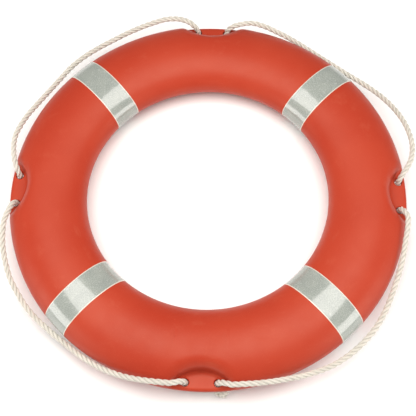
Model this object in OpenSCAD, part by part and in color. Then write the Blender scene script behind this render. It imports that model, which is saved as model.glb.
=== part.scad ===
// Ring lifebuoy: a hollow moulded ring filled with foam, four reflective bands and a grab line.
// The ring lies flat, its axis is Z and the floor is z = 0. Millimetres.
// The four rope anchors are at right (+X), back (+Y), left (-X) and front (-Y).

/* [Ring] */
// Outside diameter of the ring
outer_d = 720; // [700:5:740]
// Diameter of the hole through the middle
inner_d = 440; // [420:5:460]
// Thickness of the ring from face to face
section_h = 90; // [86:1:100]
// Wall of the moulded shell
wall = 3; // [2:0.5:4]

/* [Rope anchors] */
// Thickness of the web that the rope passes through
web_t = 12; // [10:1:14]
// Distance from the ring's axis to the axis of a scoop
scoop_x = 394; // [392:1:396]
// Radius of a scoop where it meets the web
scoop_r = 66; // [64:1:67]
// Slope of a scoop's wall, in degrees
scoop_draft = 8; // [6:1:12]
// Distance from the ring's axis to the line of the two rope holes
hole_x = 346; // [344:1:348]
// Distance between the two rope holes of an anchor
hole_spacing = 55; // [52:1:57]
// Diameter of a rope hole
hole_d = 13; // [12.5:0.5:14]

/* [Reflective bands] */
// Width of a band
tape_w = 50; // [40:5:60]
// Thickness of a band, which lies flush in a shallow recess
tape_t = 0.6; // [0.4:0.1:1]

/* [Grab line] */
// Diameter of the three-strand rope
rope_d = 10; // [9.5:0.5:11]
// Radius of the rope's bend at a hole
bend_r = 22; // [21:1:23]
// Diameter of the knot that joins the rope's two ends
knot_d = 27; // [25:1:27]

/* [Plugs] */
// Diameter of the head of the plug in the foam filling hole
fill_plug_d = 22; // [20:1:26]
// Diameter of the head of the plug in the vent hole
vent_plug_d = 14; // [12:1:18]

/* [Hidden] */

// Directions of the anchors, in degrees round from +X
RIGHT = 0;
BACK = 90;
LEFT = 180;
FRONT = 270;
ANCHORS = [RIGHT, BACK, LEFT, FRONT];
// Directions of the bands, midway between the anchors
BANDS = [45, 135, 225, 315];

ring_r = (outer_d + inner_d) / 4;
half_w = (outer_d - inner_d) / 4;
half_h = section_h / 2;
mid_z = half_h;
section_steps = 48;
round_fn = 64;
past = 5;
core_gap = 0.3;

// Height above mid_z where a scoop's wall starts to ease over, and its steps out and up from there
rim_from = 22;
RIM_STEPS = [[3.5, 10], [10.3, 17.8], [19.5, 22.5], [32, 28]];
// A grown scoop eases over this much lower for each millimetre of growth, so the wall stays full
rim_drop = 0.7;

// Heights of the rope's straight stretch in a hole, where its bends start
bend_top_z = mid_z + 4;
bend_low_z = mid_z - 2;
rope_r = rope_d / 2;
hole_y = hole_spacing / 2;
// Each loop's end stands this far off the centre of the knuckle that it swings on
knuckle_gap = 6;
tube_sides = 10;
// The straight stretch in a hole is a little fuller than the bends, and laps onto both
sleeve_lap = 1;
sleeve_extra = 0.1;
// Centre of the knot, from the front anchor's own axes
knot_x = 351.5;
knot_y = 33;
knot_z = mid_z - 23;
// The right tail goes straight down to here, just inside the knot
tail_stop_z = knot_z + 7;

// How far each end of a loop heads away from the ring's edge as it leaves its hole, in degrees.
// Each pair is the loop's first end, then its second, going round from right to back.
HEAD_BACK_RIGHT = [35, 16];
HEAD_BACK_LEFT = [33, 20];
HEAD_FRONT_LEFT = [16, 15];
HEAD_FRONT_RIGHT = [15, 24];

// Routes of the loops: direction in degrees, distance from the ring's axis, height above mid_z
ROUTE_BACK_RIGHT = [
    [10, 374, 25], [14, 384, 24], [18, 389, 20], [22, 392, 14], [26, 393, 7], [30, 392, 1],
    [34, 389, -4], [38, 384, -7], [42, 378, -8], [46, 373, -8], [50, 370, -7], [54, 368, -5],
    [58, 367, -1], [62, 367, 4], [66, 367, 10], [70, 367, 16], [74, 368, 21], [78, 366, 25]];
ROUTE_BACK_LEFT = [
    [100, 371, 25], [104, 377, 23], [108, 379, 18], [112, 381, 12], [116, 383, 6], [120, 385, 0],
    [124, 387, -4], [128, 389, -7], [132, 389, -8], [136, 387, -8], [140, 383, -7], [144, 380, -5],
    [148, 378, -1], [152, 377, 4], [156, 377, 10], [160, 376, 16], [164, 374, 21], [168, 367, 25]];
ROUTE_FRONT_LEFT = [
    [191, 365, 26], [195, 371, 23], [199, 376, 18], [203, 379, 12], [207, 381, 6], [211, 380, 0],
    [215, 379, -5], [219, 376, -8], [223, 372, -9], [227, 369, -9], [231, 367, -7], [235, 367, -4],
    [239, 367, 1], [243, 367, 8], [247, 366, 16], [251, 364, 22], [255, 361, 27], [259, 358, 30]];
ROUTE_FRONT_RIGHT = [
    [281, 358, 30], [285, 361, 27], [289, 364, 22], [293, 367, 15], [297, 371, 8], [301, 375, 2],
    [305, 379, -3], [309, 381, -7], [313, 382, -9], [317, 382, -9], [321, 381, -7], [325, 378, -4],
    [329, 374, 1], [333, 370, 7], [337, 367, 13], [341, 364, 19], [345, 361, 24], [349, 360, 27]];

ORANGE = [0.82, 0.36, 0.25];
FOAM = [0.90, 0.86, 0.70];
SILVER = [0.68, 0.70, 0.67];
CREAM = [0.90, 0.88, 0.82];

// ---- Ring ----

// Points of an ellipse, turned half a step so that its crown is a narrow flat
function ellipse(a, b) =
    [for (i = [0:section_steps - 1])
        let (t = (i + 0.5) * 360 / section_steps, grow = 1 / cos(180 / section_steps))
        [a * grow * cos(t), b * grow * sin(t)]];

module ring_body(inset) {
    translate([0, 0, mid_z])
        rotate_extrude($fn = round_fn)
            translate([ring_r, 0])
                polygon(ellipse(half_w - inset, half_h - inset));
}

// One scoop above the web and one below it. Grown, the two meet, for the inside of the shell.
// The drafted wall eases over into the ring's face, in steps of slope
module scoop_pair(start, grow) {
    ease_z = rim_from - rim_drop * grow;
    wall_r = scoop_r + grow + (ease_z - start) * tan(scoop_draft);
    reach = [for (step = RIM_STEPS) [wall_r + step[0], ease_z + step[1]]];
    outline = concat([[0, start], [scoop_r + grow, start], [wall_r, ease_z]],
                     reach, [[0, reach[len(reach) - 1][1]]]);
    for (side = [0, 1])
        translate([scoop_x, 0, mid_z])
            mirror([0, 0, side])
                rotate_extrude($fn = round_fn)
                    polygon(outline);
}

// The hollow of the shell, which the foam fills
module hollow(inset) {
    difference() {
        ring_body(inset);
        for (a = ANCHORS)
            rotate(a) scoop_pair(0, inset);
    }
}

module band_slab(a) {
    rotate(a)
        translate([inner_d / 2 - past, -tape_w / 2, -past])
            cube([2 * half_w + 2 * past, tape_w, section_h + 2 * past]);
}

module rope_holes() {
    for (a = ANCHORS, side = [-1, 1])
        rotate(a)
            translate([hole_x, side * hole_y, mid_z - web_t])
                cylinder(h = 2 * web_t, d = hole_d, $fn = round_fn);
}

// ---- Plugs, on the lower inner flank, square to its surface ----

plug_turn = 45;
plug_stem_l = 8;
plug_seat = 1.2;
plug_head_t = 2;
plug_fit = 0.05;
fill_plug_at = 112.5;
vent_plug_at = 292.5;
function stem_d(head_d) = head_d * 0.55;

// Puts its children where a plug goes, with the plug's axis along Z and the surface at z = 0
module at_plug(a) {
    lean = atan2(cos(plug_turn) / half_w, sin(plug_turn) / half_h);
    rotate(a)
        translate([ring_r - half_w * cos(plug_turn), 0, mid_z - half_h * sin(plug_turn)])
            rotate([0, 180 + lean, 0])
                children();
}

module plug_pocket(a, head_d, deeper, wider) {
    at_plug(a) {
        translate([0, 0, -plug_seat])
            cylinder(h = plug_head_t + past, d = head_d + 2 * wider, $fn = round_fn);
        translate([0, 0, -plug_stem_l - deeper])
            cylinder(h = plug_stem_l + past, d = stem_d(head_d) + 2 * wider, $fn = round_fn);
    }
}

module plug(a, head_d) {
    color(ORANGE)
        at_plug(a) {
            translate([0, 0, -plug_seat])
                cylinder(h = plug_head_t, d = head_d, $fn = round_fn);
            translate([0, 0, -plug_stem_l])
                cylinder(h = plug_stem_l - plug_seat, d = stem_d(head_d), $fn = round_fn);
        }
}

module outer_shell() {
    color(ORANGE)
        difference() {
            ring_body(0);
            for (a = ANCHORS)
                rotate(a) scoop_pair(web_t / 2, 0);
            rope_holes();
            for (a = BANDS)
                difference() {
                    band_slab(a);
                    ring_body(tape_t);
                }
            hollow(wall);
            plug_pocket(fill_plug_at, fill_plug_d, past, plug_fit);
            plug_pocket(vent_plug_at, vent_plug_d, past, plug_fit);
        }
}

module foam_core() {
    color(FOAM)
        difference() {
            hollow(wall + core_gap);
            plug_pocket(fill_plug_at, fill_plug_d, core_gap, core_gap);
            plug_pocket(vent_plug_at, vent_plug_d, core_gap, core_gap);
        }
}

module tape(a) {
    color(SILVER)
        intersection() {
            difference() {
                ring_body(0);
                ring_body(tape_t);
            }
            band_slab(a);
        }
}

// ---- Grab line ----

// Where a rope leaves the bend above its hole: anchor direction, side (1 or -1), heading
function knuckle(a, side, head) =
    let (x = hole_x + bend_r * sin(head), y = side * (hole_y + bend_r * cos(head)))
    [x * cos(a) - y * sin(a), x * sin(a) + y * cos(a), bend_top_z + bend_r];

function from_polar(p) = [p[1] * cos(p[0]), p[1] * sin(p[0]), mid_z + p[2]];
function unit(v) = v / norm(v);

// The rope's way up through a hole and over into its heading, with the round knuckle at its end
module rope_rise(a, side, head) {
    rotate(a)
        translate([hole_x, side * hole_y, 0]) {
            translate([0, 0, bend_low_z - sleeve_lap])
                cylinder(h = bend_top_z - bend_low_z + 2 * sleeve_lap, d = rope_d + sleeve_extra, $fn = round_fn);
            rotate(side * (90 - head))
                translate([bend_r, 0, bend_top_z]) {
                    rotate([90, 0, 0])
                        rotate(90)
                            rotate_extrude(angle = 90, $fn = round_fn)
                                translate([bend_r, 0]) circle(d = rope_d, $fn = round_fn);
                    translate([0, 0, bend_r])
                        sphere(d = rope_d, $fn = round_fn);
                }
        }
}

// Two rises joined by the rope's half turn under the web
module rope_tuck(a, head_before, head_after) {
    color(CREAM)
        union() {
            rope_rise(a, -1, head_before);
            rope_rise(a, 1, head_after);
            rotate(a)
                translate([hole_x, 0, bend_low_z])
                    rotate([90, 0, 90])
                        rotate(180)
                            rotate_extrude(angle = 180, $fn = round_fn)
                                translate([hole_y, 0]) circle(d = rope_d, $fn = round_fn);
        }
}

module knot_ball() {
    rotate(FRONT)
        translate([knot_x, knot_y, knot_z])
            sphere(d = knot_d, $fn = round_fn);
}

// The end that comes down the left hole, turns under the web and runs to the knot
module rope_tail_left() {
    color(CREAM)
        difference() {
            union() {
                rope_rise(FRONT, -1, HEAD_FRONT_LEFT[1]);
                rotate(FRONT)
                    translate([hole_x, bend_r - hole_y, bend_low_z]) {
                        rotate([90, 0, 90])
                            rotate(180)
                                rotate_extrude(angle = 90, $fn = round_fn)
                                    translate([bend_r, 0]) circle(d = rope_d, $fn = round_fn);
                        translate([0, 0, -bend_r])
                            rotate([-90, 0, 0])
                                cylinder(h = knot_y - bend_r + hole_y, d = rope_d, $fn = round_fn);
                    }
            }
            knot_ball();
        }
}

// The end that comes straight down the right hole to the knot
module rope_tail_right() {
    color(CREAM)
        difference() {
            union() {
                rope_rise(FRONT, 1, HEAD_FRONT_RIGHT[0]);
                rotate(FRONT)
                    translate([hole_x, hole_y, tail_stop_z])
                        cylinder(h = bend_low_z - tail_stop_z, d = rope_d + sleeve_extra, $fn = round_fn);
            }
            knot_ball();
        }
}

module joining_knot() {
    color(CREAM)
        knot_ball();
}

// A tube with round sections across a route's points
module rope_tube(points) {
    last = len(points) - 1;
    rings = [for (i = [0:last])
        let (
            along = unit(points[min(i + 1, last)] - points[max(i - 1, 0)]),
            across = unit(cross(along, [0, 0, 1])),
            up = cross(across, along)
        )
        for (k = [0:tube_sides - 1])
            points[i] + rope_r * (cos(360 * k / tube_sides) * across + sin(360 * k / tube_sides) * up)];
    start_cap = [[for (k = [0:tube_sides - 1]) k]];
    end_cap = [[for (k = [tube_sides - 1:-1:0]) last * tube_sides + k]];
    sides = [for (i = [0:last - 1], k = [0:tube_sides - 1])
        let (a = i * tube_sides + k, b = i * tube_sides + (k + 1) % tube_sides)
        each [[a, a + tube_sides, b], [b, a + tube_sides, b + tube_sides]]];
    polyhedron(points = rings, faces = concat(start_cap, end_cap, sides));
}

// The free stretch of rope between two anchors, which swings on its two knuckles
module grab_loop(a, heads, route) {
    ends = [knuckle(a, 1, heads[0]), knuckle(a + 90, -1, heads[1])];
    way = [for (p = route) from_polar(p)];
    first = ends[0] + knuckle_gap * unit(way[0] - ends[0]);
    final = ends[1] + knuckle_gap * unit(way[len(way) - 1] - ends[1]);
    color(CREAM)
        rope_tube(concat([first], way, [final]));
}

outer_shell();
foam_core();
plug(fill_plug_at, fill_plug_d);  // fill_plug
plug(vent_plug_at, vent_plug_d);  // vent_plug
tape(BANDS[0]);  // tape_back_right
tape(BANDS[1]);  // tape_back_left
tape(BANDS[2]);  // tape_front_left
tape(BANDS[3]);  // tape_front_right
rope_tuck(RIGHT, HEAD_FRONT_RIGHT[1], HEAD_BACK_RIGHT[0]);  // rope_tuck_right
rope_tuck(BACK, HEAD_BACK_RIGHT[1], HEAD_BACK_LEFT[0]);  // rope_tuck_back
rope_tuck(LEFT, HEAD_BACK_LEFT[1], HEAD_FRONT_LEFT[0]);  // rope_tuck_left
rope_tail_left();
rope_tail_right();
joining_knot();
grab_loop(RIGHT, HEAD_BACK_RIGHT, ROUTE_BACK_RIGHT);  // grab_loop_back_right
grab_loop(BACK, HEAD_BACK_LEFT, ROUTE_BACK_LEFT);  // grab_loop_back_left
grab_loop(LEFT, HEAD_FRONT_LEFT, ROUTE_FRONT_LEFT);  // grab_loop_front_left
grab_loop(FRONT, HEAD_FRONT_RIGHT, ROUTE_FRONT_RIGHT);  // grab_loop_front_right
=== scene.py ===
"""The looks of the ring lifebuoy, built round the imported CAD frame. Metres, in the frame's axes."""
import math

import bpy
import numpy as np
from mathutils import Matrix, Vector


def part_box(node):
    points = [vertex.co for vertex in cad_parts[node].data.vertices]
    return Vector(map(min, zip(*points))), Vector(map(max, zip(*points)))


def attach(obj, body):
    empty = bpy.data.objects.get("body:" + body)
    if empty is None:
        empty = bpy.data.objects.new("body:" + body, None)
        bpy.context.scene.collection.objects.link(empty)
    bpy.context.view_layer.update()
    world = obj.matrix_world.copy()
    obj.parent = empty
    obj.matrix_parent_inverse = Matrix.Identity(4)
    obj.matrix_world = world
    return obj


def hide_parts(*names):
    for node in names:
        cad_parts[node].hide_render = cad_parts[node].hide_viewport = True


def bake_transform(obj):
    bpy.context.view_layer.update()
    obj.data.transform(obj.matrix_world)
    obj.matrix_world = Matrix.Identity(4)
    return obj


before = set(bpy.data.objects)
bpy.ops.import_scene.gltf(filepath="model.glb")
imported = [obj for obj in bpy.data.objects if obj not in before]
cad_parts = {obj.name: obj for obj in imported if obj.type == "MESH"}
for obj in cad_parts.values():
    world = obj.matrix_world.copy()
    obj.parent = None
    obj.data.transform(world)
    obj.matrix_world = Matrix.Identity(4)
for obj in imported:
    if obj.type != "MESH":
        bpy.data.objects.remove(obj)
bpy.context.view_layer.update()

# ---- Sizes that the pieces share ----

SHELL_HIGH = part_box("outer_shell")[1]
OUTER_R = SHELL_HIGH.x
INNER_R = 0.220
HALF_H = SHELL_HIGH.z / 2
MID_Z = HALF_H
RING_R = (OUTER_R + INNER_R) / 2
HALF_W = (OUTER_R - INNER_R) / 2
WALL = 0.003

# The four rope anchors, in degrees round from +X
RIGHT, BACK, LEFT, FRONT = 0, 90, 180, 270
HALF_WEB = 0.006
SCOOP_X = 0.394
SCOOP_R = 0.066
SCOOP_DRAFT = math.radians(8)
HOLE_X = 0.346
HOLE_Y = 0.0275
HOLE_R = 0.0065

# The grab line
ROPE_D = 0.010
BEND_R = 0.022
BEND_TOP_Z = MID_Z + 0.004
BEND_LOW_Z = MID_Z - 0.002
KNOT_Y = 0.033
KNOT_Z = MID_Z - 0.023
# The knot sits this much further from the ring's axis than the rope holes
KNOT_OUT = 0.0055
# How far the rope's middle runs from the knot's, and its diameter where it is drawn down tight
KNOT_BALL_R = 0.0086
KNOT_ROPE_D = 0.0090

# Each loop: its name, its first anchor, how far its two end bends turn outward in degrees, and its
# route as (direction in degrees, distance from the axis, height above the middle)
LOOPS = [
    ("front_right", FRONT, 15, 24, [
        (281, .358, .030), (285, .361, .027), (289, .364, .022), (293, .367, .015),
        (297, .371, .008), (301, .375, .002), (305, .379, -.003), (309, .381, -.007),
        (313, .382, -.009), (317, .382, -.009), (321, .381, -.007), (325, .378, -.004),
        (329, .374, .001), (333, .370, .007), (337, .367, .013), (341, .364, .019),
        (345, .361, .024), (349, .360, .027)]),
    ("back_right", RIGHT, 35, 16, [
        (10, .374, .025), (14, .384, .024), (18, .389, .020), (22, .392, .014),
        (26, .393, .007), (30, .392, .001), (34, .389, -.004), (38, .384, -.007),
        (42, .378, -.008), (46, .373, -.008), (50, .370, -.007), (54, .368, -.005),
        (58, .367, -.001), (62, .367, .004), (66, .367, .010), (70, .367, .016),
        (74, .368, .021), (78, .366, .025)]),
    ("back_left", BACK, 33, 20, [
        (100, .371, .025), (104, .377, .023), (108, .379, .018), (112, .381, .012),
        (116, .383, .006), (120, .385, .000), (124, .387, -.004), (128, .389, -.007),
        (132, .389, -.008), (136, .387, -.008), (140, .383, -.007), (144, .380, -.005),
        (148, .378, -.001), (152, .377, .004), (156, .377, .010), (160, .376, .016),
        (164, .374, .021), (168, .367, .025)]),
    ("front_left", LEFT, 16, 15, [
        (191, .365, .026), (195, .371, .023), (199, .376, .018), (203, .379, .012),
        (207, .381, .006), (211, .380, .000), (215, .379, -.005), (219, .376, -.008),
        (223, .372, -.009), (227, .369, -.009), (231, .367, -.007), (235, .367, -.004),
        (239, .367, .001), (243, .367, .008), (247, .366, .016), (251, .364, .022),
        (255, .361, .027), (259, .358, .030)]),
]

# The reflective bands, midway between the anchors
BANDS = {"back_right": 45, "back_left": 135, "front_left": 225, "front_right": 315}
BAND_W = 0.050


# ---- Camera ----

AIM = Vector((0.0018, -0.0280, MID_Z))
CAMERA_AT = Vector((0.0459, -0.6416, 1.4565))
CAMERA_ROLL = math.radians(-2.70)
LENS = 73.64


def make_camera():
    camera = bpy.data.objects.new("camera", bpy.data.cameras.new("camera"))
    bpy.context.scene.collection.objects.link(camera)
    camera.data.lens = LENS
    camera.data.sensor_width = 36
    turn = (AIM - CAMERA_AT).to_track_quat("-Z", "Y").to_matrix().to_4x4()
    roll = Matrix.Rotation(CAMERA_ROLL, 4, "Z")
    camera.matrix_world = Matrix.Translation(CAMERA_AT) @ turn @ roll
    bpy.context.scene.camera = camera


# ---- Mesh helpers ----

def add_mesh(name, points, faces, material):
    mesh = bpy.data.meshes.new(name)
    mesh.from_pydata([tuple(p) for p in points], [], faces)
    mesh.validate()
    mesh.update()
    mesh.polygons.foreach_set("use_smooth", [True] * len(mesh.polygons))
    obj = bpy.data.objects.new(name, mesh)
    bpy.context.scene.collection.objects.link(obj)
    mesh.materials.append(material)
    return obj


def grid_faces(rows, columns, close_rows, close_columns, first=0):
    """Quads of a grid of points stored row by row, optionally wrapping round either way."""
    i = np.arange(rows if close_rows else rows - 1)
    j = np.arange(columns if close_columns else columns - 1)
    i, j = np.meshgrid(i, j, indexing="ij")
    i2, j2 = (i + 1) % rows, (j + 1) % columns
    quads = np.stack([i * columns + j, i2 * columns + j, i2 * columns + j2, i * columns + j2], -1)
    return (quads.reshape(-1, 4) + first).tolist()


def border(rows, columns):
    """The points round the edge of a grid of points stored row by row, in order."""
    start = [i * columns for i in range(rows)]
    last_row = [(rows - 1) * columns + j for j in range(1, columns)]
    end = [i * columns + columns - 1 for i in range(rows - 2, -1, -1)]
    first_row = list(range(columns - 2, 0, -1))
    return start + last_row + end + first_row


def sheet_faces(rows, columns):
    """Faces of a closed sheet: one grid of points for its top, and then one for its underside."""
    count = rows * columns
    faces = grid_faces(rows, columns, False, False)
    faces += [face[::-1] for face in grid_faces(rows, columns, False, False, count)]
    rim = border(rows, columns)
    faces += [[a, a + count, b + count, b] for a, b in zip(rim, rim[1:] + rim[:1])]
    return faces


def set_attribute(obj, name, values):
    layer = obj.data.attributes.new(name, "FLOAT", "POINT")
    layer.data.foreach_set("value", np.asarray(values, np.float32).ravel())


def join(name, objects):
    bpy.ops.object.select_all(action="DESELECT")
    for obj in objects:
        obj.select_set(True)
    bpy.context.view_layer.objects.active = objects[0]
    bpy.ops.object.join()
    objects[0].name = name
    objects[0].data.name = name
    return objects[0]


def fix_normals(obj):
    bpy.ops.object.select_all(action="DESELECT")
    obj.select_set(True)
    bpy.context.view_layer.objects.active = obj
    bpy.ops.object.mode_set(mode="EDIT")
    bpy.ops.mesh.select_all(action="SELECT")
    bpy.ops.mesh.normals_make_consistent(inside=False)
    bpy.ops.object.mode_set(mode="OBJECT")


def lathe(name, profile, material, sides=48):
    """A solid of revolution about Z. The profile runs from the axis to the axis."""
    turn = np.linspace(0, 2 * np.pi, sides, endpoint=False)
    body = profile[1:-1]
    points = [(r * math.cos(a), r * math.sin(a), z) for r, z in body for a in turn]
    faces = grid_faces(len(body), sides, False, True)
    points += [(0, 0, profile[0][1]), (0, 0, profile[-1][1])]
    bottom, top, last = len(points) - 2, len(points) - 1, (len(body) - 1) * sides
    faces += [[bottom, (j + 1) % sides, j] for j in range(sides)]
    faces += [[top, last + j, last + (j + 1) % sides] for j in range(sides)]
    obj = add_mesh(name, points, faces, material)
    fix_normals(obj)
    return obj


def cut_away(obj, cutter):
    """Cuts one solid out of another, and removes the cutter."""
    modifier = obj.modifiers.new("cut", "BOOLEAN")
    modifier.operation = "DIFFERENCE"
    modifier.solver = "EXACT"
    modifier.object = cutter
    bpy.ops.object.select_all(action="DESELECT")
    obj.select_set(True)
    bpy.context.view_layer.objects.active = obj
    bpy.ops.object.modifier_apply(modifier=modifier.name)
    bpy.data.objects.remove(cutter)


def unit(v):
    return v / np.linalg.norm(v, axis=-1, keepdims=True)


def run_along(points):
    """How far along a line each of its points is."""
    return np.r_[0, np.cumsum(np.linalg.norm(np.diff(points, axis=0), axis=1))]


def turned(points, degrees):
    """Points turned round the ring's axis."""
    a = math.radians(degrees)
    c, s = math.cos(a), math.sin(a)
    points = np.asarray(points, float)
    return np.stack([points[..., 0] * c - points[..., 1] * s,
                     points[..., 0] * s + points[..., 1] * c, points[..., 2]], -1)


def spread(*stops):
    """Numbers from one stop to the next. Each stop is (number, step to the next stop)."""
    found = []
    for (low, step), (high, _) in zip(stops, stops[1:]):
        found.extend(np.linspace(low, high, max(1, round((high - low) / step)), endpoint=False))
    return found + [stops[-1][0]]


# ---- Material helpers ----

class Shading:
    """A material's node tree, with short calls for the nodes that the materials use."""

    def __init__(self, name, roughness, specular=0.5, coat=0.0, coat_roughness=0.05, sheen=0.0):
        self.material = bpy.data.materials.new(name)
        self.material.use_nodes = True
        self.tree = self.material.node_tree
        self.shader = self.tree.nodes["Principled BSDF"]
        self.put("Roughness", roughness)
        self.put("Specular IOR Level", specular)
        self.put("Coat Weight", coat)
        self.put("Coat Roughness", coat_roughness)
        self.put("Sheen Weight", sheen)

    def put(self, socket, value):
        self.shader.inputs[socket].default_value = value

    def feed(self, socket, output):
        self.tree.links.new(output, self.shader.inputs[socket])

    def node(self, kind, **settings):
        made = self.tree.nodes.new(kind)
        for key, value in settings.items():
            setattr(made, key, value)
        return made

    def join(self, output, made, socket):
        self.tree.links.new(output, made.inputs[socket])
        return made

    def place(self, stretch=(1, 1, 1)):
        """Object coordinates, in metres, stretched along each axis."""
        mapping = self.node("ShaderNodeMapping")
        mapping.inputs["Scale"].default_value = stretch
        self.join(self.node("ShaderNodeTexCoord").outputs["Object"], mapping, "Vector")
        return mapping.outputs["Vector"]

    def attribute(self, name):
        return self.node("ShaderNodeAttribute", attribute_name=name).outputs["Fac"]

    def noise(self, vector, scale, detail=3.0, roughness=0.5):
        made = self.join(vector, self.node("ShaderNodeTexNoise"), "Vector")
        made.inputs["Scale"].default_value = scale
        made.inputs["Detail"].default_value = detail
        made.inputs["Roughness"].default_value = roughness
        return made.outputs["Fac"]

    def cells(self, vector, scale):
        """How far a point is from the nearest edge between cells."""
        made = self.node("ShaderNodeTexVoronoi", feature="DISTANCE_TO_EDGE")
        self.join(vector, made, "Vector")
        made.inputs["Scale"].default_value = scale
        return made.outputs["Distance"]

    def reach(self, value, low, high, to_low=0.0, to_high=1.0):
        """Maps a value from one range to another, and clamps it there."""
        made = self.join(value, self.node("ShaderNodeMapRange"), "Value")
        made.inputs["From Min"].default_value = low
        made.inputs["From Max"].default_value = high
        made.inputs["To Min"].default_value = to_low
        made.inputs["To Max"].default_value = to_high
        return made.outputs["Result"]

    def mix(self, factor, first, second):
        """Mixes two colours. Each is a colour or another node's output."""
        made = self.node("ShaderNodeMix", data_type="RGBA")
        self.tree.links.new(factor, made.inputs["Factor"])
        for socket, value in ((made.inputs[6], first), (made.inputs[7], second)):
            if isinstance(value, tuple):
                socket.default_value = (*value, 1)
            else:
                self.tree.links.new(value, socket)
        return made.outputs[2]

    def math(self, operation, first, second):
        made = self.node("ShaderNodeMath", operation=operation)
        for socket, value in ((made.inputs[0], first), (made.inputs[1], second)):
            if isinstance(value, (int, float)):
                socket.default_value = value
            else:
                self.tree.links.new(value, socket)
        return made.outputs[0]

    def bump(self, height, distance, strength=1.0, under=None):
        made = self.join(height, self.node("ShaderNodeBump"), "Height")
        made.inputs["Distance"].default_value = distance
        made.inputs["Strength"].default_value = strength
        if under is not None:
            self.tree.links.new(under, made.inputs["Normal"])
        return made.outputs["Normal"]


# ---- Materials ----

def rope_material():
    """Cream laid polypropylene with fine fibres: pale crowns, and painted shade greying the grooves
    between strands and yarns.
    """
    groove_shade, clean, worn = (0.42, 0.40, 0.35), (0.66, 0.625, 0.55), (0.59, 0.56, 0.49)
    m = Shading("rope_cream", roughness=0.72, specular=0.35, sheen=0.15)
    # Painted shade: the crest attribute greys the rope towards the groove shade colour where strands
    # and yarns meet.
    crest = m.reach(m.attribute("crest"), 0.15, 0.85)
    blotch = m.reach(m.noise(m.place(), 60, detail=4), 0.35, 0.7)
    m.feed("Base Color", m.mix(crest, groove_shade, m.mix(blotch, clean, worn)))
    fibre = m.noise(m.place(), 2600, detail=2)
    m.feed("Normal", m.bump(fibre, 0.0002, 0.5))
    return m.material


def shell_material(name="shell_orange"):
    """Rotationally moulded polyethylene: satin, slightly mottled, with soft scuffs."""
    deep, bright = (0.395, 0.035, 0.015), (0.430, 0.045, 0.020)
    grain, worn, amber = (0.46, 0.062, 0.030), (0.47, 0.086, 0.046), (1, 0.92, 0.74, 1)
    m = Shading(name, roughness=0.42, specular=0.26)
    m.put("Specular Tint", amber)
    cloud = m.reach(m.noise(m.place(), 7, detail=3), 0.35, 0.65)
    base = m.mix(cloud, deep, bright)
    speck = m.reach(m.noise(m.place(), 900, detail=2), 0.60, 0.75)
    base = m.mix(speck, base, grain)
    scuff = m.reach(m.noise(m.place((1, 1, 5)), 26, detail=6, roughness=0.7), 0.58, 0.74)
    m.feed("Base Color", m.mix(m.math("MULTIPLY", scuff, 0.35), base, worn))
    rough = m.noise(m.place(), 40, detail=5)
    m.feed("Roughness", m.math("ADD", m.reach(rough, 0.3, 0.7, 0.36, 0.48),
                               m.math("MULTIPLY", scuff, 0.10)))
    peel = m.noise(m.place(), 420, detail=2)
    wave = m.noise(m.place(), 16, detail=1)
    m.feed("Normal", m.bump(peel, 0.00012, 0.6, under=m.bump(wave, 0.0006, 0.5)))
    return m.material


def tape_material():
    """Silver retroreflective sheeting: sealed cells under a clear glossy face, white sealed edges."""
    dark, light = (0.25, 0.275, 0.25), (0.30, 0.325, 0.29)
    sealed, rim = (0.62, 0.64, 0.60), (0.62, 0.58, 0.50)
    m = Shading("tape_silver", roughness=0.22, specular=0.55, coat=0.75, coat_roughness=0.03)
    cell = m.node("ShaderNodeCombineXYZ")
    m.join(m.attribute("along"), cell, "X")
    m.join(m.attribute("across"), cell, "Y")
    seal = m.reach(m.cells(cell.outputs["Vector"], 330), 0.02, 0.07, 1.0, 0.0)
    cloud = m.reach(m.noise(m.place(), 45, detail=4), 0.3, 0.7)
    silver = m.mix(cloud, dark, light)
    silver = m.mix(m.math("MULTIPLY", seal, 0.30), silver, sealed)
    edge = m.reach(m.math("ABSOLUTE", m.attribute("across"), 0), 0.0231, 0.0234)
    m.feed("Base Color", m.mix(edge, silver, rim))
    m.feed("Roughness", m.reach(edge, 0, 1, 0.16, 0.4))
    ripple = m.noise(m.place(), 30, detail=2)
    m.feed("Normal", m.bump(seal, 0.00003, 0.5, under=m.bump(ripple, 0.0002, 0.35)))
    return m.material


def foam_material():
    """Closed-cell polyurethane foam, pale yellow."""
    pit, dull, fresh = (0.55, 0.42, 0.20), (0.80, 0.66, 0.36), (0.86, 0.76, 0.48)
    m = Shading("foam_yellow", roughness=0.9, specular=0.2)
    pore = m.reach(m.cells(m.place(), 700), 0.0, 0.08)
    cloud = m.reach(m.noise(m.place(), 20, detail=4), 0.3, 0.7)
    m.feed("Base Color", m.mix(pore, pit, m.mix(cloud, dull, fresh)))
    m.feed("Normal", m.bump(pore, 0.0003, 0.8))
    return m.material


def floor_material():
    """Nearly white, matt, and slightly uneven."""
    m = Shading("floor_pale", roughness=0.75, specular=0.15)
    cloud = m.noise(m.place(), 2.5, detail=3)
    m.feed("Base Color", m.mix(cloud, (0.95, 0.95, 0.945), (0.97, 0.97, 0.965)))
    return m.material


# ---- The grab line ----

# A quarter turn, in the steps that the rope's bends are drawn with
QUARTER_TURN = np.radians(np.arange(0, 91, 15))
# The rope's mesh: its step along the line, and the sides of a strand
ROPE_STEP = 0.0014
SIDES = 24
# How far along the rope a strand makes one turn, and the yarns in a strand
LAY = 0.034
YARNS = 6
# A strand's radius, and also its distance from the rope's middle, as a share of the rope's diameter
STRAND = 0.252
# How far the yarns swell, as a share of the strand's radius
YARN_SWELL = 0.045
# The CAD nodes that each line stands for beside its own loop
TUCKS = {"front_right": ["rope_tail_right"], "back_right": ["rope_tuck_right"],
         "back_left": ["rope_tuck_back"], "front_left": ["rope_tuck_left", "rope_tail_left"]}


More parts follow.
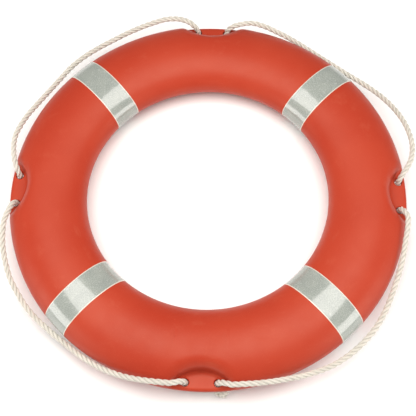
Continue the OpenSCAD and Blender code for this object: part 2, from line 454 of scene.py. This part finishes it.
def smooth_through(points, step):
    """A centripetal Catmull-Rom curve through points, at even steps along its length."""
    samples = 24
    p = np.asarray(points, float)
    p = np.vstack([2 * p[0] - p[1], p, 2 * p[-1] - p[-2]])
    gap = np.sqrt(np.linalg.norm(np.diff(p, axis=0), axis=1))
    dense = []
    for i in range(1, len(p) - 2):
        t0, t1, t2, t3 = np.cumsum([0, gap[i - 1], gap[i], gap[i + 1]])
        t = np.linspace(t1, t2, samples, endpoint=False)[:, None]
        a1 = (t1 - t) / (t1 - t0) * p[i - 1] + (t - t0) / (t1 - t0) * p[i]
        a2 = (t2 - t) / (t2 - t1) * p[i] + (t - t1) / (t2 - t1) * p[i + 1]
        a3 = (t3 - t) / (t3 - t2) * p[i + 1] + (t - t2) / (t3 - t2) * p[i + 2]
        b1 = (t2 - t) / (t2 - t0) * a1 + (t - t0) / (t2 - t0) * a2
        b2 = (t3 - t) / (t3 - t1) * a2 + (t - t1) / (t3 - t1) * a3
        dense.append((t2 - t) / (t2 - t1) * b1 + (t - t1) / (t2 - t1) * b2)
    dense = np.vstack(dense + [p[-2:-1]])
    run = run_along(dense)
    at = np.linspace(0, run[-1], max(2, round(run[-1] / step)) + 1)
    return np.stack([np.interp(at, run, dense[:, k]) for k in range(3)], -1)


def bend_over(anchor, side, heading):
    """Up out of a hole and over, from the top of the straight stretch to the knuckle."""
    h = math.radians(heading)
    out = np.array([math.sin(h), side * math.cos(h), 0])
    foot = np.array([HOLE_X, side * HOLE_Y, BEND_TOP_Z])
    points = [foot + BEND_R * ((1 - math.cos(a)) * out + math.sin(a) * np.array([0, 0, 1]))
              for a in QUARTER_TURN]
    return turned(points, anchor)


def bend_under(anchor, side):
    """From a hole's lower end to the middle of the half turn under the web."""
    points = [(HOLE_X, side * HOLE_Y * math.cos(a), BEND_LOW_Z - HOLE_Y * math.sin(a))
              for a in QUARTER_TURN]
    return turned(points, anchor)


def left_tail():
    """From the front anchor's left hole, under the web and across into the knot."""
    points = [(HOLE_X, -HOLE_Y + BEND_R * (1 - math.cos(a)), BEND_LOW_Z - BEND_R * math.sin(a))
              for a in QUARTER_TURN]
    points += [(HOLE_X, 0.008, BEND_LOW_Z - BEND_R), (HOLE_X + 0.002, KNOT_Y - 0.010, KNOT_Z)]
    return turned(points, FRONT)


def right_tail():
    """From the knot straight up to the front anchor's right hole."""
    points = [(HOLE_X, HOLE_Y, z) for z in (KNOT_Z + 0.004, KNOT_Z + 0.013, BEND_LOW_Z)]
    return turned(points, FRONT)


def loop_points(name, anchor, first, last, route):
    """The whole line of one loop, from below one anchor's web to below the next one's."""
    start = right_tail() if name == "front_right" else bend_under(anchor, 1)[::-1]
    end = left_tail() if name == "front_left" else bend_under(anchor + 90, -1)
    free = [(r * math.cos(math.radians(a)), r * math.sin(math.radians(a)), MID_Z + z)
            for a, r, z in route]
    return np.vstack([start, bend_over(anchor, 1, first), free,
                      bend_over(anchor + 90, -1, last)[::-1], end])


def frames_along(path):
    """Two unit vectors across a path at each of its points, which don't twist about it."""
    along = unit(np.gradient(path, axis=0))
    first = np.array([0.0, 0.0, 1.0])
    if abs(along[0] @ first) > 0.9:
        first = np.array([1.0, 0.0, 0.0])
    side = [unit(first - (first @ along[0]) * along[0])]
    for t in along[1:]:
        side.append(unit(side[-1] - (side[-1] @ t) * t))
    side = np.array(side)
    return side, np.cross(along, side)


def strand_mesh(path, side, up, turn, rope_d, start_run):
    """One strand of a laid rope: its points row by row, and how near each is to the outside."""
    run = start_run + run_along(path)
    phase = 2 * np.pi * run / LAY + turn
    out = np.cos(phase)[:, None] * side + np.sin(phase)[:, None] * up
    radius = STRAND * rope_d
    line = path + radius * out
    along = unit(np.gradient(line, axis=0))
    e1 = unit(out - np.sum(out * along, 1)[:, None] * along)
    e2 = np.cross(along, e1)
    theta = np.linspace(0, 2 * np.pi, SIDES, endpoint=False)
    yarn = YARNS * (theta[None, :] + 2 * np.pi * run[:, None] / LAY)
    swell = radius * (1 + YARN_SWELL * np.cos(yarn))
    points = (line[:, None] + swell[..., None] * (np.cos(theta)[None, :, None] * e1[:, None]
                                                  + np.sin(theta)[None, :, None] * e2[:, None]))
    # How near the outside each point is; the rope material paints shade in the grooves, where this is
    # low.
    crest = 0.5 + 0.5 * np.cos(theta)[None, :] + 0.10 * np.cos(yarn)
    return points, crest


def laid_rope(name, path, side, up, material, rope_d=ROPE_D, start_run=0.0):
    """Three strands laid right-handed round a path, with closed ends."""
    points, faces, crests = [], [], []
    for k in range(3):
        strand, crest = strand_mesh(path, side, up, 2 * np.pi * k / 3, rope_d, start_run)
        first = sum(len(p) for p in points)
        rows = len(strand)
        faces += grid_faces(rows, SIDES, False, True, first)
        faces.append([first + j for j in range(SIDES)])
        faces.append([first + (rows - 1) * SIDES + j for j in reversed(range(SIDES))])
        points.append(strand.reshape(-1, 3))
        crests.append(crest.ravel())
    obj = add_mesh(name, np.vstack(points), faces, material)
    set_attribute(obj, "crest", np.concatenate(crests))
    fix_normals(obj)
    return obj


def knot_path():
    """Three turns that weave over and under each other into a ball, in the scoop below the web."""
    turns, bights, steps = 3, 4, 480
    weave, steepest = 0.0012, math.radians(52)
    t = np.linspace(0, 2 * np.pi * turns, steps)
    reach = KNOT_BALL_R + weave * np.cos(2 * bights * t / turns)
    tilt = steepest * np.sin(bights * t / turns)
    points = np.stack([reach * np.cos(tilt) * np.cos(t), reach * np.cos(tilt) * np.sin(t),
                       reach * np.sin(tilt)], -1)
    lean = Matrix.Rotation(math.radians(60), 3, "Y") @ Matrix.Rotation(math.radians(25), 3, "X")
    points = points @ np.array(lean).T
    return turned(points + [HOLE_X + KNOT_OUT, KNOT_Y, KNOT_Z], FRONT)


def make_knot(material):
    """The knot that joins the rope's two ends, drawn down tight."""
    path = knot_path()
    side, up = frames_along(path)
    knot = laid_rope("joining_knot_rope", path, side, up, material, rope_d=KNOT_ROPE_D)
    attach(knot, "ring")
    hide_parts("joining_knot")
    return knot


def make_grab_line(material, knot):
    """One continuous rope, cut below each web into four pieces that meet end to end."""
    lines = [loop_points(*loop) for loop in LOOPS]
    whole = smooth_through(np.vstack([lines[0]] + [line[1:] for line in lines[1:]]), ROPE_STEP)
    side, up = frames_along(whole)
    run = run_along(whole)
    cuts = [0] + [int(np.argmin(np.linalg.norm(whole - line[-1], axis=1))) for line in lines]
    for (name, anchor, first, last, _), a, b in zip(LOOPS, cuts, cuts[1:]):
        part = slice(a, b + 1)
        path = whole[part]
        rope = laid_rope("grab_line_" + name, path, side[part], up[part], material,
                         start_run=run[a])
        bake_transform(rope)
        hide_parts("grab_loop_" + name, *TUCKS[name])


# ---- The plugs ----

# Each plug: its azimuth and its head's diameter
PLUGS = {"fill_plug": (112.5, 0.022), "vent_plug": (292.5, 0.014)}
# How far round the section a plug sits, below the middle of its inner side
PLUG_TURN = math.radians(45)
# A plug's stem radius, as a share of its head's diameter
PLUG_STEM = 0.275
# The head's seat and the pocket's floor below the surface, and the play round the plug
PLUG_SEAT = 0.0012
PLUG_DEEP = 0.008
PLUG_PLAY = 0.0002


def plug_place(azimuth):
    """Where a plug goes: Z out of the surface of the lower inner flank, and z = 0 on it."""
    lean = math.atan2(math.cos(PLUG_TURN) / HALF_W, math.sin(PLUG_TURN) / HALF_H)
    foot = Vector((RING_R - HALF_W * math.cos(PLUG_TURN), 0,
                   MID_Z - HALF_H * math.sin(PLUG_TURN)))
    turn = Matrix.Rotation(math.radians(azimuth), 4, "Z")
    return turn @ Matrix.Translation(foot) @ Matrix.Rotation(math.pi + lean, 4, "Y")


def pocket_profile(head_d):
    """What a plug's pocket takes out of the shell, with a flare at its mouth."""
    rim, stem = head_d / 2 + PLUG_PLAY, head_d * PLUG_STEM + PLUG_PLAY
    return [(0, -PLUG_DEEP), (stem, -PLUG_DEEP), (stem, -PLUG_SEAT), (rim, -PLUG_SEAT),
            (rim, -0.0004), (rim + 0.0006, 0.0001), (rim + 0.0012, 0.002), (0, 0.002)]


def plug_profile(head_d):
    """A push-in plug: a barbed stem, a head with a rolled rim, and a sunk dish with a gate mark."""
    rim, stem = head_d / 2, head_d * PLUG_STEM
    low = [(0, -0.0078), (stem * 0.8, -0.0078), (stem, -0.0068), (stem * 0.9, -0.0052),
           (stem, -0.0044), (stem * 0.9, -0.0030), (stem * 0.95, -PLUG_SEAT), (rim, -PLUG_SEAT)]
    roll = [(rim - 0.0008 + 0.0008 * math.cos(a), 0.0002 + 0.0006 * math.sin(a))
            for a in np.radians(np.arange(0, 91, 18))]
    dish = [(rim * 0.72, 0.0008), (rim * 0.64, 0.0003), (rim * 0.20, 0.0003),
            (rim * 0.12, 0.0006), (0, 0.0007)]
    return low + roll + dish


def make_plug(name, azimuth, head_d, material):
    plug = lathe("pushed_in_" + name, plug_profile(head_d), material)
    plug.data.transform(plug_place(azimuth))
    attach(plug, "ring")
    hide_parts(name)


# ---- The moulded shell ----

ROOT_FILLET = 0.008
# How far a scoop's rim is rounded, from the web's edge up to the ring's face: height, rounding
RIM_FILLETS = [(0.008, 0.006), (0.022, 0.0115), (0.034, 0.017)]
INNER_RIM_FILLET = 0.012
SEAM_HEIGHT = 0.00022
SEAM_WIDTH = 0.0006
# Two low moulded ribs on the top of the ring, one each side of the front anchor
RIB_Y = 0.043
RIB_R = 0.2755
RIB_HALF_L = 0.0125
RIB_HALF_W = 0.0014
RIB_HEIGHT = 0.0006
# Each ray's meeting with the shell is found by halving, from its start to a point outside
HALVINGS = 26
OUTSIDE = 0.010
# The scoops' rims lie between these azimuths from an anchor's middle, in degrees
RIM_FROM, RIM_TO = 6, 12.5


def smooth_max(a, b, k):
    h = np.maximum(k - np.abs(a - b), 0) / k
    return np.maximum(a, b) + h * h * k / 4


def ring_distance(r, z, inset):
    """About how far a point is outside the ring's elliptical section."""
    a, b = HALF_W - inset, HALF_H - inset
    x, y = (r - RING_R) / a, z / b
    f = np.sqrt(x * x + y * y) + 1e-9
    slope = np.sqrt((x / a) ** 2 + (y / b) ** 2) / f + 1e-9
    return (f - 1) / slope


def shell_distance(p, inset=0.0):
    """About how far points are outside the shell, from the anchor that each is nearest to."""
    r = np.hypot(p[..., 0], p[..., 1])
    turn = np.arctan2(p[..., 1], p[..., 0])
    turn = turn - np.round(turn / (np.pi / 2)) * (np.pi / 2)
    x, y, z = r * np.cos(turn), r * np.sin(turn), p[..., 2] - MID_Z
    body = ring_distance(r, z, inset)
    away = np.hypot(x - SCOOP_X, y)
    low = 0.0 if inset else HALF_WEB
    limit = SCOOP_R + inset + (np.abs(z) - low) * math.tan(SCOOP_DRAFT)
    wall = (limit - away) * math.cos(SCOOP_DRAFT)
    if inset:
        return smooth_max(body, wall, INNER_RIM_FILLET)
    floor = np.abs(z) - HALF_WEB
    carved = -smooth_max(-wall, -floor, ROOT_FILLET)
    return smooth_max(body, carved, np.interp(np.abs(z), *zip(*RIM_FILLETS)))


def skin(azimuths, angles, inset=0.0):
    """Points on the shell: one section of rays from the section's centre at each azimuth."""
    az, el = np.meshgrid(np.radians(azimuths), np.radians(angles), indexing="ij")
    near, far = np.zeros(az.shape), np.full(az.shape, HALF_W + OUTSIDE)

    def at(reach):
        r = RING_R + reach * np.cos(el)
        return np.stack([r * np.cos(az), r * np.sin(az), MID_Z + reach * np.sin(el)], -1)

    for _ in range(HALVINGS):
        middle = (near + far) / 2
        inside = shell_distance(at(middle), inset) < 0
        near = np.where(inside, middle, near)
        far = np.where(inside, far, middle)
    reach = (near + far) / 2
    if not inset:
        reach = reach + SEAM_HEIGHT * np.exp(-(reach * np.sin(el) / SEAM_WIDTH) ** 2)
        reach = reach + rib_height(at(reach))
    return at(reach)


def rib_height(p):
    """How far the two ribs stand up, at points on the shell."""
    out, over = -p[..., 1], np.abs(p[..., 0])
    across = np.exp(-((over - RIB_Y) / RIB_HALF_W) ** 2)
    along = np.exp(-((out - RIB_R) / RIB_HALF_L) ** 6)
    return RIB_HEIGHT * across * along * (p[..., 2] > MID_Z) * (out > 0)


def full_turn(half):
    """Angles of a half section, and their mirror below it."""
    return half + [360 - a for a in reversed(half[1:-1])]


def anchor_azimuths(near, rim, far):
    """Azimuths all the way round, closest together at the rims of the scoops."""
    one = spread((-45, far), (-RIM_TO, rim), (-RIM_FROM, near), (RIM_FROM, rim), (RIM_TO, far),
                 (45, far))[:-1]
    return [a + anchor for anchor in (RIGHT, BACK, LEFT, FRONT) for a in one]


def hole_profile():
    """The hole's cutter: its waist is the hole, and it flares at each face of the web."""
    flare, wider, past = 0.0018, 0.002, 0.0012
    turns = np.radians(np.arange(0, 76, 15))
    top = [(HOLE_R + flare * (1 - math.cos(a)), HALF_WEB - flare + flare * math.sin(a))
           for a in turns]
    top.append((top[-1][0] + wider, HALF_WEB + past))
    low = [(r, -z) for r, z in reversed(top)]
    return [(0, low[0][1])] + low + top + [(0, top[-1][1])]


def make_cutters(material):
    """What the eight rope holes and the two plugs' pockets take out of the shell."""
    cutters = []
    for anchor in (RIGHT, BACK, LEFT, FRONT):
        for side in (-1, 1):
            cutter = lathe("cutter", hole_profile(), material, sides=64)
            place = turned((HOLE_X, side * HOLE_Y, MID_Z), anchor)
            cutter.data.transform(Matrix.Translation(Vector(place)))
            cutters.append(cutter)
    for azimuth, head_d in PLUGS.values():
        cutter = lathe("cutter", pocket_profile(head_d), material, sides=64)
        cutter.data.transform(plug_place(azimuth))
        cutters.append(cutter)
    return join("cutters", cutters)


def make_cavity(material):
    """The shell's inside face."""
    azimuths = anchor_azimuths(near=1, rim=0.8, far=4)
    angles = full_turn(spread((0, 3), (60, 6), (180, 6)))
    inside = skin(azimuths, angles, inset=WALL)
    faces = grid_faces(len(azimuths), len(angles), True, True)
    return add_mesh("cavity", inside.reshape(-1, 3), [face[::-1] for face in faces], material)


def make_shell(material):
    # Angles and steps round the section: finest at the seam, and fine where the webs and scoops are
    half = spread((0, .25), (1.5, .5), (4, .33), (12, 1), (56, 3), (176, 2), (178, .5), (180, 1))
    angles = full_turn(half)
    azimuths = anchor_azimuths(near=0.33, rim=0.22, far=2)
    outside = skin(azimuths, angles)
    shell = add_mesh("shell_moulding", outside.reshape(-1, 3),
                     grid_faces(len(azimuths), len(angles), True, True), material)
    cut_away(shell, make_cutters(material))
    shell = join("shell_moulding", [shell, make_cavity(material)])
    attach(shell, "ring")
    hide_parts("outer_shell")


# ---- The reflective bands ----

# A band's face above the shell, its underside below it, and the width of its rounded edges
TAPE_LIFT = 0.00035
TAPE_SUNK = -0.0002
TAPE_EDGE = 0.0008
# The creases across a band: where they are round the section and how far they spread, in degrees
CREASE_AT = 182
CREASE_SPREAD = 26
CREASE_HEIGHT = 0.00012
# The lap: its length and the ramp up to it, in degrees round the section, and its height
LAP_TURN = 14
LAP_RAMP = 2.5
LAP_HEIGHT = 0.0003
# A band's mesh: its step round the section, in degrees
TAPE_STEP = 1.5
# Where each band's end laps over its start, in degrees round the section
LAP_AT = {"back_right": 250, "back_left": 262, "front_left": 196, "front_right": 256}


def band_points(turn, across, lift):
    """Points of a band: round the section by turn, across the band, and lifted off the shell."""
    c, s = np.cos(turn), np.sin(turn)
    n = unit(np.stack([c / HALF_W, s / HALF_H], -1))
    r = RING_R + HALF_W * c + lift * n[..., 0]
    z = MID_Z + HALF_H * s + lift * n[..., 1]
    return np.stack([np.sqrt(r * r - across * across), across, z], -1)


def tape_lift(turn, across, lap_at):
    """The band's height off the shell: rounded edges, creases at the hole, the lap's step."""
    edge = (BAND_W / 2 - np.abs(across)) / TAPE_EDGE
    lift = TAPE_LIFT * np.clip(edge, 0, 1) ** 0.5
    crease = np.exp(-((np.degrees(turn) % 360 - CREASE_AT) / CREASE_SPREAD) ** 2)
    lift += CREASE_HEIGHT * crease * (1 + np.sin(across * 640 + 0.6 * np.sin(turn * 5)))
    past = np.degrees(turn) - lap_at - 360 + LAP_TURN
    return lift + LAP_HEIGHT * np.clip(past / LAP_RAMP + 1, 0, 1)


def band_columns():
    """Places across a band: five at each rounded edge, and the middles of 30 equal strips between."""
    edge = np.linspace(BAND_W / 2, BAND_W / 2 - TAPE_EDGE, 5)
    middle = edge[-1] * (np.arange(0.5, 30) / 15 - 1)
    return np.r_[-edge, middle, edge[::-1]]


def make_band(name, azimuth, material):
    lap_at = LAP_AT[name]
    turns = np.radians(np.arange(lap_at - LAP_TURN, lap_at + 360, TAPE_STEP))
    turn, over = np.meshgrid(turns, band_columns(), indexing="ij")
    top = band_points(turn, over, tape_lift(turn, over, lap_at))
    # Pressed flat where the ring lies on it
    top[..., 2] = np.maximum(top[..., 2], 0)
    low = band_points(turn, over, np.full(turn.shape, TAPE_SUNK))
    points = turned(np.vstack([top.reshape(-1, 3), low.reshape(-1, 3)]), azimuth)
    band = add_mesh("reflective_band_" + name, points, sheet_faces(*turn.shape), material)
    reach = np.unwrap(turn, axis=0) * math.sqrt(HALF_W * HALF_H)
    set_attribute(band, "along", np.tile(reach.ravel(), 2))
    set_attribute(band, "across", np.tile(over.ravel(), 2))
    fix_normals(band)
    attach(band, "ring")
    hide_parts("tape_" + name)


# ---- The foam ----

def dress_foam(material):
    """The foam is a CAD node that stays as it is, with its own material."""
    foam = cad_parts["foam_core"]
    if not foam.material_slots:
        foam.data.materials.append(material)
    for slot in foam.material_slots:
        slot.link = "OBJECT"
        slot.material = material


# ---- Floor and light ----

def make_floor():
    size = 6.0
    corners = [(-size, -size, 0), (size, -size, 0), (size, size, 0), (-size, size, 0)]
    floor = add_mesh("floor", corners, [[0, 1, 2, 3]], floor_material())


def make_world(strength):
    world = bpy.data.worlds.new("studio")
    bpy.context.scene.world = world
    world.use_nodes = True
    sky = world.node_tree.nodes["Background"]
    sky.inputs["Color"].default_value = (1, 1, 1, 1)
    sky.inputs["Strength"].default_value = strength


WARM_WHITE = (1, 0.965, 0.93)


def softbox(name, place, aim, width, height, watts):
    light = bpy.data.lights.new(name, "AREA")
    light.shape = "RECTANGLE"
    light.size = width
    light.size_y = height
    light.energy = watts
    light.color = WARM_WHITE
    obj = bpy.data.objects.new(name, light)
    bpy.context.scene.collection.objects.link(obj)
    obj.location = place
    obj.rotation_mode = "QUATERNION"
    obj.rotation_quaternion = (Vector(aim) - Vector(place)).to_track_quat("-Z", "Y")


def make_lights():
    """One wide softbox close overhead, with a low panel at each side, in a dim white room."""
    make_world(strength=0.27)
    softbox("overhead", (0, -0.10, 1.55), (0, -0.10, 0), width=2.1, height=1.2, watts=37)
    for name, side in (("left_panel", -1), ("right_panel", 1)):
        softbox(name, (side * 1.5, -0.75, 0.5), (0, 0, MID_Z), width=0.9, height=0.7, watts=9)


bpy.context.scene.view_settings.view_transform = "Standard"
make_camera()
rope = rope_material()
make_grab_line(rope, make_knot(rope))
orange = shell_material()
make_shell(orange)
silver = tape_material()
for band_name, band_azimuth in BANDS.items():
    make_band(band_name, band_azimuth, silver)
plug_orange = shell_material("plug_orange")
for plug_name, (plug_azimuth, plug_d) in PLUGS.items():
    make_plug(plug_name, plug_azimuth, plug_d, plug_orange)
dress_foam(foam_material())
make_floor()
make_lights()
